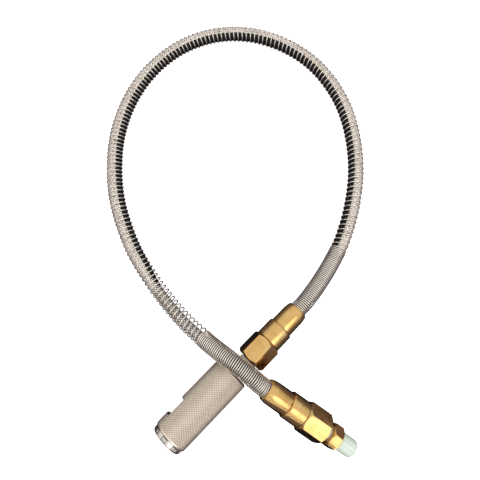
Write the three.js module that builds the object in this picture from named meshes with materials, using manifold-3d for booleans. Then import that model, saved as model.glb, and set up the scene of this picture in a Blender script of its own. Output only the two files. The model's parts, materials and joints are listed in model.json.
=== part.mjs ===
// A short armoured refuelling hose lying in a loop. One end carries a knurled quick-connect filling nozzle,
// the other a capped brass fitting. Millimetres, +Z up, the floor is z = 0.
// +X points out of the nozzle's mouth and the origin lies on the floor under the middle of the nozzle
// and its brass fitting.
import * as THREE from 'three';
import { mergeVertices } from 'three/addons/utils/BufferGeometryUtils.js';
import Module from 'manifold-3d';

const wasm = await Module();
wasm.setup();

// ---- shared dimensions ----
const GAP = 0.3;                      // clearance between neighbouring pieces
const ROUND_SIDES = 24;               // facets of a large turned piece
const SMALL_SIDES = 16;               // facets of a small turned piece
const WELD = 1e-4;

// ---- where the two ends lie ----
const AXIS_HEIGHT = 15.2;              // nozzle axis above the floor
const NOZZLE_ZERO_X = -0.75;          // station zero of the nozzle's pieces
const NOZZLE_AXIS_Y = -0.56;          // the nozzle's axis beside the middle of nozzle and nut together
const NOZZLE_MOUTH_X = -73.15;        // hose-side mouth of the nozzle's crimp ferrule
const FITTING_OFFSET_Y = 3.4;         // the brass fitting's axis beside the nozzle's axis
const FAR_MOUTH = new THREE.Vector3(-9.4, 26.3, 31.0);
const FAR_HEADING = new THREE.Vector3(-0.182, 0.983, 0).normalize();
const FAR_SLOPE = THREE.MathUtils.degToRad(15.9);

// ---- brass crimp fitting, stations along its axis from the ferrule's mouth ----
const FERRULE = {
  radius: 9.7, bore: 7.7, lip: 0.4, mouthRadius: 8.3, shoulderRadius: 9.3, shoulder: 3.2, roundEnd: 6.0,
  wallStart: 18.4, end: 20.2, wallHole: 3.3,
};
const TAIL = {
  nippleStart: 2.5, nippleRadius: 2.9, bore: 2.0,
  collarStart: 20.5, collarEnd: 35.6, collarRadius: 11.0, collarEdge: 0.6,
  stemRadius: 4.5, flangeStart: 41.1, flangeEnd: 43.5, flangeRadius: 6.2,
};
const NUT = { start: 35.9, end: 57.6, flats: 22.8, lipEnd: 39.1, lipHole: 4.8, bore: 6.7, edge: 2.0 };
const NUT_TURN = THREE.MathUtils.degToRad(10.9);
const FAR_NUT_TURN = THREE.MathUtils.degToRad(10);
const THRUST_WASHER = { start: 39.4, end: 40.8, inner: 4.8, outer: 6.3 };
const SEAL_WASHER = { start: 43.8, end: 45.0, inner: 2.4, outer: 6.2 };

// ---- eccentric neck between the brass nut and the nozzle, stations along X ----
const NECK = {
  start: -27.1, nutEnd: -14.4, step: -9, bodyEnd: 4.6, end: 13.4,
  nutRadius: 6.3, radius: 6.8, bodyRadius: 5.9, bore: 2.0, ringStart: 9.2, ringEnd: 11.4, ringFloor: 4.9,
};
const NECK_TAPE = { start: -14.2, end: -11.2, inner: 7.1, outer: 7.75 };
const NECK_RING = { at: 10.3, radius: 5.7, thick: 0.5 };

// ---- nozzle, stations along X ----
const BODY = {
  start: 5.0, end: 58.9, radius: 11.6,
  socketEnd: 14.0, socketRadius: 6.4, passage: 2.5, chamberStart: 18.0, chamberRadius: 5.2,
  seatStart: 45.1, mouthRadius: 8.8, grooveStart: 56.1, grooveEnd: 58.3, grooveRadius: 10.4,
  clipStart: 19.5, clipEnd: 21.3, clipFloor: 10.7, reliefEnd: 34.3, reliefRadius: 11.1,
};
const STOP_RING = { start: 19.8, end: 21.0, inner: 11.0, outer: 12.8 };
const SLEEVE = {
  start: 1.5, end: 69.4, radius: 15.2, bore: 12.0, pocketStart: 15.3, pocketEnd: 34.0, pocketRadius: 13.2,
  rearEdge: 1.0, frontEdge: 0.5, counterStart: 59.4, counterRadius: 14.0, coneStart: 66.0, coneRadius: 14.2,
};
const SLEEVE_NOTCH = { start: 42.5, end: 58.3, floor: 12.25, slotStart: 44.2, slotEnd: 56.6, slotHalf: 5 };
const SLEEVE_SPRING = { start: 21.3, end: 33.7, radius: 12.15, wire: 0.55, turns: 4 };
const NOSE_RING = { start: 59.2, end: 73.9, bore: 9, rearRadius: 11.6, step: 63.8, radius: 13.7, edge: 0.5 };
const SEGMENT = { count: 8, start: 69.9, end: 72.7, inner: 9.1, outer: 14.1, width: 4.4 };
const SEGMENT_TURN = THREE.MathUtils.degToRad(8);
const PLUG_RING = { at: 57.2, radius: 9.4, thick: 0.75 };

// ---- check valve inside the nozzle, stations along X ----
const SEAT = { start: 45.4, end: 50.0, inner: 3.3, outer: 8.5 };
const RETAINER = { start: 50.3, end: 51.5, inner: 6.8, outer: 8.5 };
const GUIDE = { start: 20.0, end: 23.0, inner: 1.9, outer: 4.9, holes: 4, holeRadius: 0.8, holeCircle: 3.5 };
const POPPET = {
  rear: 19.5, headStart: 40.9, headEnd: 44.1, front: 54.5,
  stemRadius: 1.5, headRadius: 4.6, headEdge: 0.6, tipLength: 2.0, tipRadius: 2.3,
};
const POPPET_SEAL = { start: 44.4, end: 45.1, inner: 1.8, outer: 4.5 };
const POPPET_SPRING = { start: 23.3, end: 40.6, radius: 3.2, wire: 0.4, turns: 5 };

// ---- far end, stations from the far ferrule's mouth ----
const FAR_ADAPTER = {
  start: 45.3, hexStart: 61.6, hexEnd: 71.3, flats: 18, edge: 1.8, end: 81.4,
  nutRadius: 6.3, capRadius: 5.3, bore: 2.2,
};
const FAR_HEX_TURN = THREE.MathUtils.degToRad(18);
const FAR_TAPE = { start: 57.9, end: 61.3, inner: 6.6, outer: 7.3 };
const CAP = { start: 71.6, end: 86.2, radius: 7.4, bore: 5.7, floor: 83.3, dome: 1.8, lip: 0.5 };

// ---- hose ----
const HOSE = { outer: 4.9, inner: 3.3, sides: 8, steps: 46 };
const GUARD = { outer: 7.4, inner: 6.2, sides: 10, steps: 46 };
const HOSE_INSERT = 18.1;             // how far the hose enters each ferrule
const HOSE_ROUTE = [
  [-82.8, 2.7, 15], [-104, 0, 12.6], [-125.1, -4.4, 9.8], [-146.2, -10.8, 8.1],
  [-176.4, -25.7, 7.6], [-205.3, -46.2, 7.6], [-229.8, -71.8, 7.6], [-247.4, -98.9, 7.6],
  [-257.7, -126.8, 7.6], [-261.3, -154.9, 7.6], [-257.2, -184, 7.6], [-246.2, -210.5, 7.6],
  [-231, -230.1, 7.6], [-211.3, -245.3, 7.6], [-184.4, -256.2, 7.6], [-156.6, -259.2, 7.6],
  [-127.7, -255.3, 7.6], [-100, -245, 7.6], [-72.1, -227.2, 7.6], [-48.1, -203.4, 7.6],
  [-31.3, -180.5, 7.6], [-19.2, -156.6, 7.6], [-10, -131.8, 7.6], [-4.6, -106.9, 7.8],
  [-1.4, -81.8, 10.4], [-0.3, -57.6, 16.2], [-1.2, -42.6, 21.9], [-2.2, -28.6, 28],
  [-4.1, -14.7, 32.9], [-6.1, -1.8, 35.4], [-7.8, 12.8, 34.6],
];

const MATERIALS = {
  brass: { color: 0xc8a055, roughness: 0.28, metalness: 1 },
  nickel: { color: 0xc9bda8, roughness: 0.3, metalness: 1 },
  steel: { color: 0xb9b2a6, roughness: 0.35, metalness: 1 },
  rubber: { color: 0x1c1c1e, roughness: 0.7, metalness: 0 },
  tape: { color: 0xeceeea, roughness: 0.6, metalness: 0 },
  cap: { color: 0xdff0e0, roughness: 0.35, metalness: 0 },
  washer: { color: 0xd9d4c2, roughness: 0.5, metalness: 0 },
};

// ---- solid-building helpers ----
function signedVolume(position, index) {
  const a = new THREE.Vector3();
  const b = new THREE.Vector3();
  const c = new THREE.Vector3();
  let total = 0;
  for (let i = 0; i < index.length; i += 3) {
    a.fromBufferAttribute(position, index[i]);
    b.fromBufferAttribute(position, index[i + 1]);
    c.fromBufferAttribute(position, index[i + 2]);
    total += a.dot(b.cross(c));
  }
  return total / 6;
}

// Weld the vertices, drop triangles that collapsed on the axis and turn the faces outwards.
function closed(geometry) {
  geometry.deleteAttribute('normal');
  geometry.deleteAttribute('uv');
  const welded = mergeVertices(geometry, WELD);
  const source = welded.index.array;
  const kept = [];
  for (let i = 0; i < source.length; i += 3) {
    const [a, b, c] = [source[i], source[i + 1], source[i + 2]];
    if (a !== b && b !== c && c !== a) {
      kept.push(a, b, c);
    }
  }
  if (signedVolume(welded.attributes.position, kept) < 0) {
    kept.reverse();
  }
  welded.setIndex(kept);
  return welded;
}

// Turn a profile of [radius, station] pairs about the X axis.
function turned(profile, sides = ROUND_SIDES) {
  const points = profile.map(([radius, station]) => new THREE.Vector2(radius, station));
  const lathe = new THREE.LatheGeometry(points, sides);
  lathe.rotateZ(-Math.PI / 2);
  return closed(lathe);
}

function turnedRing(inner, outer, start, end, sides = SMALL_SIDES) {
  return turned([[inner, start], [outer, start], [outer, end], [inner, end], [inner, start]], sides);
}

function turnedRod(radius, start, end, sides = SMALL_SIDES) {
  return turned([[0, start], [radius, start], [radius, end], [0, end]], sides);
}

function toSolid(geometry) {
  const mesh = new wasm.Mesh({
    numProp: 3,
    vertProperties: new Float32Array(geometry.attributes.position.array),
    triVerts: new Uint32Array(geometry.index.array),
  });
  return new wasm.Manifold(mesh);
}

function fromSolid(solid) {
  const mesh = solid.getMesh();
  const geometry = new THREE.BufferGeometry();
  geometry.setAttribute('position', new THREE.BufferAttribute(new Float32Array(mesh.vertProperties), 3));
  geometry.setIndex(Array.from(mesh.triVerts));
  return geometry;
}

function ringOfRubber({ at, radius, thick }) {
  const torus = new THREE.TorusGeometry(radius, thick, 8, SMALL_SIDES);
  torus.rotateY(Math.PI / 2);
  torus.translate(at, 0, 0);
  return closed(torus);
}

// A hexagonal bar along X, flats apart, with both ends chamfered by a turned cone and turned by an angle.
function hexBar(start, end, flats, edge, turn) {
  const corner = flats / Math.sqrt(3);
  const bar = new THREE.CylinderGeometry(corner, corner, end - start, 6);
  bar.rotateZ(-Math.PI / 2);
  bar.rotateX(Math.PI / 2 + turn);
  bar.translate((start + end) / 2, 0, 0);
  const face = flats / 2;
  const envelope = turned([
    [0, start], [face, start], [corner, start + edge], [corner, end - edge], [face, end], [0, end],
  ]);
  return toSolid(closed(bar)).intersect(toSolid(envelope));
}

class Helix extends THREE.Curve {
  constructor({ start, end, radius, wire, turns }) {
    super();
    this.first = start + wire;
    this.length = end - start - 2 * wire;
    this.radius = radius;
    this.turns = turns;
  }

  getPoint(t, target = new THREE.Vector3()) {
    const angle = 2 * Math.PI * this.turns * t;
    const side = this.radius * Math.cos(angle);
    const up = this.radius * Math.sin(angle);
    return target.set(this.first + this.length * t, side, up);
  }
}

function polygon(radius, sides) {
  const points = [];
  for (let k = 0; k < sides; k += 1) {
    const angle = (2 * Math.PI * k) / sides;
    points.push(new THREE.Vector2(radius * Math.cos(angle), radius * Math.sin(angle)));
  }
  return points;
}

function coilSpring(spring) {
  const stepsPerTurn = 10;
  const wireSides = 4;
  const shape = new THREE.Shape(polygon(spring.wire, wireSides));
  return closed(new THREE.ExtrudeGeometry(shape, {
    steps: spring.turns * stepsPerTurn,
    extrudePath: new Helix(spring),
    bevelEnabled: false,
  }));
}

function hosePath(nozzleEnd, farEnd) {
  const leadIn = [HOSE_INSERT, HOSE_INSERT / 2, 0].map((station) => nozzleEnd(station));
  const leadOut = [-4, 0, HOSE_INSERT / 2, HOSE_INSERT].map((station) => farEnd(station));
  const middle = HOSE_ROUTE.map(([x, y, z]) => new THREE.Vector3(x, y, z));
  return new THREE.CatmullRomCurve3([...leadIn, ...middle, ...leadOut], false, 'centripetal');
}

function hollowCord({ outer, inner, sides, steps }, path) {
  const shape = new THREE.Shape(polygon(outer, sides));
  shape.holes.push(new THREE.Path(polygon(inner, sides).reverse()));
  return closed(new THREE.ExtrudeGeometry(shape, { steps, extrudePath: path, bevelEnabled: false }));
}

// ---- brass crimp fitting: the same five pieces at both ends of the hose ----
function ferruleGeometry() {
  const { radius, bore, lip, mouthRadius, shoulderRadius, shoulder, roundEnd } = FERRULE;
  const { wallStart, end, wallHole } = FERRULE;
  return turned([
    [bore, lip], [bore + lip / 2, 0], [mouthRadius, 0], [shoulderRadius, shoulder], [radius, roundEnd],
    [radius, end], [wallHole, end], [wallHole, wallStart], [bore, wallStart], [bore, lip],
  ]);
}

function tailGeometry() {
  const t = TAIL;
  return turned([
    [t.bore, t.nippleStart], [t.nippleRadius, t.nippleStart], [t.nippleRadius, t.collarStart],
    [t.collarRadius - t.collarEdge, t.collarStart], [t.collarRadius, t.collarStart + t.collarEdge],
    [t.collarRadius, t.collarEnd - t.collarEdge], [t.collarRadius - t.collarEdge, t.collarEnd],
    [t.stemRadius, t.collarEnd], [t.stemRadius, t.flangeStart], [t.flangeRadius, t.flangeStart],
    [t.flangeRadius, t.flangeEnd], [t.bore, t.flangeEnd], [t.bore, t.nippleStart],
  ]);
}

function nutGeometry(turn) {
  const { start, end, flats, lipEnd, lipHole, bore, edge } = NUT;
  const hole = turned([
    [0, start - 1], [lipHole, start - 1], [lipHole, lipEnd], [bore, lipEnd], [bore, end + 1], [0, end + 1],
  ], SMALL_SIDES);
  return fromSolid(hexBar(start, end, flats, edge, turn).subtract(toSolid(hole)));
}

function washerGeometry({ inner, outer, start, end }) {
  return turnedRing(inner, outer, start, end);
}

function addCrimpFitting(group, prefix, placement, turn) {
  add(group, `${prefix}_ferrule`, ferruleGeometry(), 'brass', placement);
  add(group, `${prefix}_hose_tail`, tailGeometry(), 'brass', placement);
  add(group, `${prefix}_hex_nut`, nutGeometry(turn), 'brass', placement);
  add(group, `${prefix}_thrust_washer`, washerGeometry(THRUST_WASHER), 'steel', placement);
  add(group, `${prefix}_seal_washer`, washerGeometry(SEAL_WASHER), 'washer', placement);
}

// ---- nozzle pieces, on the X axis ----
function neckGeometry() {
  const n = NECK;
  const nutStub = turnedRod(n.nutRadius, n.start, n.nutEnd + GAP);
  const rearNeck = turnedRod(n.radius, n.nutEnd, n.step);
  const rearBore = turnedRod(n.bore, n.start - 1, n.step + n.bore);
  for (const offAxis of [nutStub, rearNeck, rearBore]) {
    offAxis.translate(0, FITTING_OFFSET_Y, 0);
  }
  const frontNeck = turned([
    [0, n.step - 1], [n.radius, n.step - 1], [n.radius, n.bodyEnd], [n.bodyRadius, n.bodyEnd],
    [n.bodyRadius, n.ringStart], [n.ringFloor, n.ringStart], [n.ringFloor, n.ringEnd],
    [n.bodyRadius, n.ringEnd], [n.bodyRadius, n.end], [0, n.end],
  ], SMALL_SIDES);
  const frontBore = turnedRod(n.bore, n.step - n.bore, n.end + 1);
  const solid = toSolid(nutStub).add(toSolid(rearNeck)).add(toSolid(frontNeck));
  return fromSolid(solid.subtract(toSolid(rearBore)).subtract(toSolid(frontBore)));
}

function bodyGeometry() {
  const b = BODY;
  return turned([
    [b.socketRadius, b.start], [b.radius, b.start], [b.radius, b.clipStart], [b.clipFloor, b.clipStart],
    [b.clipFloor, b.clipEnd], [b.reliefRadius, b.clipEnd], [b.reliefRadius, b.reliefEnd],
    [b.radius, b.reliefEnd], [b.radius, b.end], [b.mouthRadius, b.end], [b.mouthRadius, b.grooveEnd],
    [b.grooveRadius, b.grooveEnd], [b.grooveRadius, b.grooveStart], [b.mouthRadius, b.grooveStart],
    [b.mouthRadius, b.seatStart], [b.chamberRadius, b.seatStart], [b.chamberRadius, b.chamberStart],
    [b.passage, b.chamberStart], [b.passage, b.socketEnd], [b.socketRadius, b.socketEnd],
    [b.socketRadius, b.start],
  ]);
}

function sleeveGeometry() {
  const s = SLEEVE;
  const shell = turned([
    [s.bore, s.start], [s.radius - s.rearEdge, s.start], [s.radius, s.start + s.rearEdge],
    [s.radius, s.end - s.frontEdge], [s.radius - s.frontEdge, s.end], [s.coneRadius, s.end],
    [s.counterRadius, s.coneStart], [s.counterRadius, s.counterStart], [s.bore, s.counterStart],
    [s.bore, s.pocketEnd], [s.pocketRadius, s.pocketEnd], [s.pocketRadius, s.pocketStart],
    [s.bore, s.pocketStart], [s.bore, s.start],
  ]);
  const n = SLEEVE_NOTCH;
  const flat = new THREE.BoxGeometry(n.end - n.start, s.radius, 2 * s.radius);
  flat.translate((n.start + n.end) / 2, -n.floor - s.radius / 2, 0);
  const slot = new THREE.BoxGeometry(n.slotEnd - n.slotStart, s.radius, 2 * n.slotHalf);
  slot.translate((n.slotStart + n.slotEnd) / 2, -s.radius, 0);
  return fromSolid(toSolid(shell).subtract(toSolid(closed(flat))).subtract(toSolid(closed(slot))));
}

// A block along X standing on a radius, turned about the axis to its place in the ring.
function radialBlock({ start, end, inner, outer, width }, clearance, angle) {
  const low = inner - clearance;
  const high = outer + clearance;
  const block = new THREE.BoxGeometry(end - start + 2 * clearance, width + 2 * clearance, high - low);
  block.translate((start + end) / 2, 0, (low + high) / 2);
  block.rotateX(angle);
  return closed(block);
}

function segmentAngle(k) {
  return SEGMENT_TURN + (2 * Math.PI * k) / SEGMENT.count;
}

function noseRingGeometry() {
  const r = NOSE_RING;
  let ring = toSolid(turned([
    [r.bore, r.start], [r.rearRadius, r.start], [r.rearRadius, r.step], [r.radius, r.step],
    [r.radius, r.end - r.edge], [r.radius - r.edge, r.end], [r.bore + r.edge, r.end],
    [r.bore, r.end - r.edge], [r.bore, r.start],
  ]));
  const window = { ...SEGMENT, inner: SEGMENT.inner - 2, outer: SEGMENT.outer + 2 };
  for (let k = 0; k < SEGMENT.count; k += 1) {
    ring = ring.subtract(toSolid(radialBlock(window, GAP, segmentAngle(k))));
  }
  return fromSolid(ring);
}

function guideGeometry() {
  const g = GUIDE;
  let disc = toSolid(turnedRing(g.inner, g.outer, g.start, g.end));
  for (let k = 0; k < g.holes; k += 1) {
    const hole = turnedRod(g.holeRadius, g.start - 1, g.end + 1, 10);
    hole.translate(0, g.holeCircle, 0);
    hole.rotateX((2 * Math.PI * k) / g.holes);
    disc = disc.subtract(toSolid(hole));
  }
  return fromSolid(disc);
}

function poppetGeometry() {
  const p = POPPET;
  return turned([
    [0, p.rear], [p.stemRadius, p.rear], [p.stemRadius, p.headStart], [p.headRadius, p.headStart],
    [p.headRadius, p.headEnd - p.headEdge], [p.headRadius - p.headEdge, p.headEnd],
    [p.stemRadius, p.headEnd], [p.stemRadius, p.front - p.tipLength], [p.tipRadius, p.front - p.tipLength],
    [p.tipRadius, p.front], [0, p.front],
  ], SMALL_SIDES);
}

function addNozzle(group, placement) {
  const tape = washerGeometry(NECK_TAPE);
  tape.translate(0, FITTING_OFFSET_Y, 0);
  add(group, 'neck_adapter', neckGeometry(), 'brass', placement);
  add(group, 'neck_tape', tape, 'tape', placement);
  add(group, 'neck_o_ring', ringOfRubber(NECK_RING), 'rubber', placement);
  add(group, 'nozzle_body', bodyGeometry(), 'nickel', placement);
  add(group, 'knurled_sleeve', sleeveGeometry(), 'nickel', placement);
  add(group, 'stop_ring', washerGeometry(STOP_RING), 'steel', placement);
  add(group, 'sleeve_spring', coilSpring(SLEEVE_SPRING), 'steel', placement);
  add(group, 'nose_ring', noseRingGeometry(), 'nickel', placement);
  for (let k = 0; k < SEGMENT.count; k += 1) {
    add(group, `lock_segment_${k + 1}`, radialBlock(SEGMENT, 0, segmentAngle(k)), 'steel', placement);
  }
  add(group, 'plug_o_ring', ringOfRubber(PLUG_RING), 'rubber', placement);
  add(group, 'valve_seat', washerGeometry(SEAT), 'brass', placement);
  add(group, 'seat_retainer', washerGeometry(RETAINER), 'steel', placement);
  add(group, 'poppet_guide', guideGeometry(), 'brass', placement);
  add(group, 'poppet', poppetGeometry(), 'steel', placement);
  add(group, 'poppet_seal', washerGeometry(POPPET_SEAL), 'rubber', placement);
  add(group, 'poppet_spring', coilSpring(POPPET_SPRING), 'steel', placement);
}

// ---- far-end pieces beyond the crimp fitting ----
function farAdapterGeometry() {
  const f = FAR_ADAPTER;
  const nutStub = toSolid(turnedRod(f.nutRadius, f.start, f.hexStart + GAP));
  const capStub = toSolid(turnedRod(f.capRadius, f.hexEnd - GAP, f.end));
  const hex = hexBar(f.hexStart, f.hexEnd, f.flats, f.edge, FAR_HEX_TURN);
  const bore = toSolid(turnedRod(f.bore, f.start - 1, f.end + 1));
  return fromSolid(nutStub.add(capStub).add(hex).subtract(bore));
}

function capGeometry() {
  const c = CAP;
  return turned([
    [c.bore, c.start], [c.radius - c.lip, c.start], [c.radius, c.start + c.lip], [c.radius, c.end - c.dome],
    [c.radius * 0.9, c.end - c.dome / 3], [c.radius * 0.6, c.end], [0, c.end],
    [0, c.floor], [c.bore, c.floor], [c.bore, c.start],
  ], SMALL_SIDES);
}

function addFarEnd(group, placement) {
  add(group, 'far_adapter', farAdapterGeometry(), 'brass', placement);
  add(group, 'far_tape', washerGeometry(FAR_TAPE), 'tape', placement);
  add(group, 'far_cap', capGeometry(), 'cap', placement);
}

// ---- assembly ----
function placed(origin, direction) {
  const along = direction.clone().normalize();
  const side = new THREE.Vector3(0, 0, 1).cross(along).normalize();
  const up = along.clone().cross(side);
  return new THREE.Matrix4().makeBasis(along, side, up).setPosition(origin);
}

function add(group, name, geometry, material, placement) {
  const moved = geometry.clone();
  if (placement) {
    moved.applyMatrix4(placement);
  }
  const mesh = new THREE.Mesh(moved, new THREE.MeshStandardMaterial(MATERIALS[material]));
  mesh.name = name;
  group.add(mesh);
}

function stationOn(placement) {
  return (station) => new THREE.Vector3(station, 0, 0).applyMatrix4(placement);
}

function buildPart() {
  const group = new THREE.Group();
  const forward = new THREE.Vector3(1, 0, 0);
  const farDirection = FAR_HEADING.clone().multiplyScalar(Math.cos(FAR_SLOPE));
  farDirection.z = -Math.sin(FAR_SLOPE);
  const nozzleAxis = placed(new THREE.Vector3(NOZZLE_ZERO_X, NOZZLE_AXIS_Y, AXIS_HEIGHT), forward);
  const nearMouth = new THREE.Vector3(NOZZLE_MOUTH_X, NOZZLE_AXIS_Y + FITTING_OFFSET_Y, AXIS_HEIGHT);
  const nearFitting = placed(nearMouth, forward);
  const farFitting = placed(FAR_MOUTH, farDirection);
  addNozzle(group, nozzleAxis);
  addCrimpFitting(group, 'nozzle', nearFitting, NUT_TURN);
  addCrimpFitting(group, 'far', farFitting, FAR_NUT_TURN);
  addFarEnd(group, farFitting);
  const path = hosePath(stationOn(nearFitting), stationOn(farFitting));
  add(group, 'hose', hollowCord(HOSE, path), 'steel');
  add(group, 'guard_spring', hollowCord(GUARD, path), 'steel');
  return group;
}

export default buildPart();
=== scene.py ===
"""Looks of a short armoured refuelling hose with a knurled quick-connect filling nozzle.

Lengths are in millimetres in the part's own frame (+X out of the nozzle's mouth, +Z up, floor at z = 0) and
are turned into metres where a mesh is made. Lights and floor are in metres, as noted there. Pieces that stand
for a turned CAD part are revolved again here with fine edges, the sleeve gets its knurl, and the hose its
braid and its wound guard.
"""
import itertools
import json
import math

import bmesh
import bpy
import numpy as np
from mathutils import Matrix, Vector

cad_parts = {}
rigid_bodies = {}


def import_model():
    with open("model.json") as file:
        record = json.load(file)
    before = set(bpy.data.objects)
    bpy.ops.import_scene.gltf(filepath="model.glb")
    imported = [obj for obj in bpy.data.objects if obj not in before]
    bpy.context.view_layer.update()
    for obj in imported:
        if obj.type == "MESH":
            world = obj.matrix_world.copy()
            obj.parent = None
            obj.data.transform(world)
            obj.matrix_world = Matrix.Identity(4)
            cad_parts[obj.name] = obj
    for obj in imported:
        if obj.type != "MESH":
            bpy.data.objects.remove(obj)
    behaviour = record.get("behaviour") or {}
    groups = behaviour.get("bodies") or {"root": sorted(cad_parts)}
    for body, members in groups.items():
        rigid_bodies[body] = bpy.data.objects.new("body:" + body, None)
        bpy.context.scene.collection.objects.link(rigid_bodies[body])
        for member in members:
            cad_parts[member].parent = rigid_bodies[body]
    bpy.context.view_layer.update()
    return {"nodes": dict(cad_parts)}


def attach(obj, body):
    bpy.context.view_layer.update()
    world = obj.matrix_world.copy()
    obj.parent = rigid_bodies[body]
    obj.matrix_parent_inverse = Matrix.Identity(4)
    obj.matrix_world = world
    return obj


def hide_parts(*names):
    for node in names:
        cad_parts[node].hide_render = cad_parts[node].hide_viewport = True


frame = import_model()
MM = 0.001

# ---- camera, looking down at the loop ----
VIEW_TARGET = Vector((-84.55, -76.61, 0.0))
VIEW_AZIMUTH = 134.9
VIEW_ELEVATION = 75.3
VIEW_DISTANCE = 406.0
VIEW_LENS = 33.75
VIEW_SENSOR = 36.0

# ---- sky: (height of the direction, brightness), tinted lower down, and one soft glow ----
SKY_STOPS = [
    (-1.0, 0.010), (-0.72, 0.015), (-0.55, 0.09), (-0.2, 0.13), (0.06, 0.18), (0.28, 0.66), (0.6, 0.90),
    (1.0, 0.98),
]
SKY_TINT = (1.0, 0.98, 0.95)
SKY_LOW_TINT = (1.3, 1.05, 1.2)
SKY_LOW_BELOW = 0.1
GLOW_TOWARDS = Vector((0.16, 0.65, 0.74)).normalized()
GLOW_EDGE, GLOW_FULL = 0.91, 0.99  # cosine of the angle to the glow's middle
GLOW_STRENGTH = 2.4
BACKDROP = 0.92

# ---- floor and lights, in metres and watts ----
FLOOR_REACH = 3.0
FLOOR_DROP = 0.0002
FLOOR_WHITE = 0.93
FLOOR_GLOW = 0.9
LIGHTS = [  # name, azimuth, elevation, distance, size, power, seen in reflections
    ("overhead", VIEW_AZIMUTH, 80, 1.3, (0.9, 0.9), 4, False),
    ("line_low", 136, 12, 0.9, (0.8, 0.02), 0.13, True),
    ("line_high", 142, 26, 0.9, (0.8, 0.02), 0.13, True),
]

# ---- where the two fittings lie ----
AXIS_HEIGHT = 15.2
NOZZLE_ZERO = Vector((-0.75, -0.56, AXIS_HEIGHT))
FITTING_OFFSET = 3.4  # the brass fitting's axis beside the nozzle's
NEAR_MOUTH = Vector((-73.15, NOZZLE_ZERO.y + FITTING_OFFSET, AXIS_HEIGHT))
FAR_MOUTH = Vector((-9.4, 26.3, 31.0))
FAR_HEADING = Vector((-0.182, 0.983, 0.0)).normalized()
FAR_SLOPE = math.radians(15.9)
NUT_TURN = math.radians(10.9)
FAR_NUT_TURN = math.radians(10.0)
FAR_HEX_TURN = math.radians(18.0)

# ---- crimp fitting and far end, stations along the axis from the ferrule's mouth: (radius, station) ----
FERRULE_PROFILE = [
    (7.7, 1.2), (7.85, 0.3), (8.2, 0.0), (8.6, 0.25), (9.0, 1.4), (9.3, 3.2), (9.55, 4.6), (9.7, 6.2),
    (9.7, 20.35), (3.3, 20.35), (3.3, 18.4), (7.7, 18.4),
]
TAIL_PROFILE = [
    (2.0, 2.5), (2.9, 2.5), (2.9, 20.45), (9.75, 20.45), (10.6, 20.8), (11.0, 21.6), (11.0, 35.3),
    (10.8, 35.6), (4.5, 35.6), (4.5, 41.1), (6.2, 41.1), (6.2, 43.5), (2.0, 43.5),
]
NUT_START, NUT_END, NUT_FLATS, NUT_EDGE = 35.9, 57.6, 22.8, 2.0
NUT_HOLE_PROFILE = [(0, 34.0), (4.8, 34.0), (4.8, 39.1), (6.7, 39.1), (6.7, 59.0), (0, 59.0)]
HEX_START, HEX_END, HEX_FLATS, HEX_EDGE = 61.6, 71.3, 18.0, 1.8
HEX_FACE_INSET = 0.45  # how far inside its flats a hexagon's end face ends
HEX_CORNER_CUT = 0.1
STUB_START, STUB_END, STUB_CREST = 45.3, HEX_START + 0.3, 6.3
STUB_THREAD_DEPTH, STUB_THREAD_PITCH = 0.5, 1.2
CAP_STUB = (71.0, 81.4, 5.3)  # start, end, radius
ADAPTER_BORE = (44.0, 82.0, 2.2)
FAR_TAPE = (57.9, 61.3, 5.9, 6.9)  # start, end, inner radius, outer radius
FAR_TAPE_TORN = 0.8
TAPE_SIDES = 120
TAPE_LAYERS = [  # (share of the tape's width, share of its thickness)
    (0.0, 0.75), (0.22, 0.9), (0.24, 1.0), (0.55, 0.94), (0.57, 1.0), (0.86, 0.88), (1.0, 0.7),
]
CAP_PROFILE = [
    (0, 85.5), (5.2, 85.5), (5.7, 86.2), (6.5, 86.0), (7.1, 85.3), (7.4, 84.2), (7.4, 72.2), (7.1, 71.6),
    (5.7, 71.6), (5.7, 83.3), (0, 83.3),
]

# ---- hose route, the same points as the CAD source ----
HOSE_INSERT = 18.1
HOSE_ROUTE = [
    (-82.8, 2.7, 15), (-104, 0, 12.6), (-125.1, -4.4, 9.8), (-146.2, -10.8, 8.1),
    (-176.4, -25.7, 7.6), (-205.3, -46.2, 7.6), (-229.8, -71.8, 7.6), (-247.4, -98.9, 7.6),
    (-257.7, -126.8, 7.6), (-261.3, -154.9, 7.6), (-257.2, -184, 7.6), (-246.2, -210.5, 7.6),
    (-231, -230.1, 7.6), (-211.3, -245.3, 7.6), (-184.4, -256.2, 7.6), (-156.6, -259.2, 7.6),
    (-127.7, -255.3, 7.6), (-100, -245, 7.6), (-72.1, -227.2, 7.6), (-48.1, -203.4, 7.6),
    (-31.3, -180.5, 7.6), (-19.2, -156.6, 7.6), (-10, -131.8, 7.6), (-4.6, -106.9, 7.8),
    (-1.4, -81.8, 10.4), (-0.3, -57.6, 16.2), (-1.2, -42.6, 21.9), (-2.2, -28.6, 28),
    (-4.1, -14.7, 32.9), (-6.1, -1.8, 35.4), (-7.8, 12.8, 34.6),
]
ROUTE_STEPS = 40  # curve steps between two neighbouring points
FAR_LEAD = 4.0  # a point this far before the far ferrule's mouth keeps the route straight
LOOP_CENTRE = np.array((-126.0, -131.0, 7.6))

# ---- spring guard ----
GUARD_RADIUS = 7.4
GUARD_WIRE = 0.54
GUARD_CLOSED_PITCH = 1.58
GUARD_CLOSED_START = 66.0  # closed-wound length after the nozzle's ferrule
GUARD_CLOSED_END = 65.0  # closed-wound length before the far ferrule
GUARD_OPEN_PITCH = [(0.0, 4.7), (0.3, 4.6), (0.5, 4.2), (0.7, 3.9), (0.85, 4.2), (1.0, 4.8)]
GUARD_OPENING = 0.006  # share of the open stretch over which the pitch changes
GUARD_END_GAP = 1  # from the route's ends to the ends of the wire and the strands
GUARD_FINE_STEP = 0.1
GUARD_STEPS = 22  # points along one turn
GUARD_SIDES = 8

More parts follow.
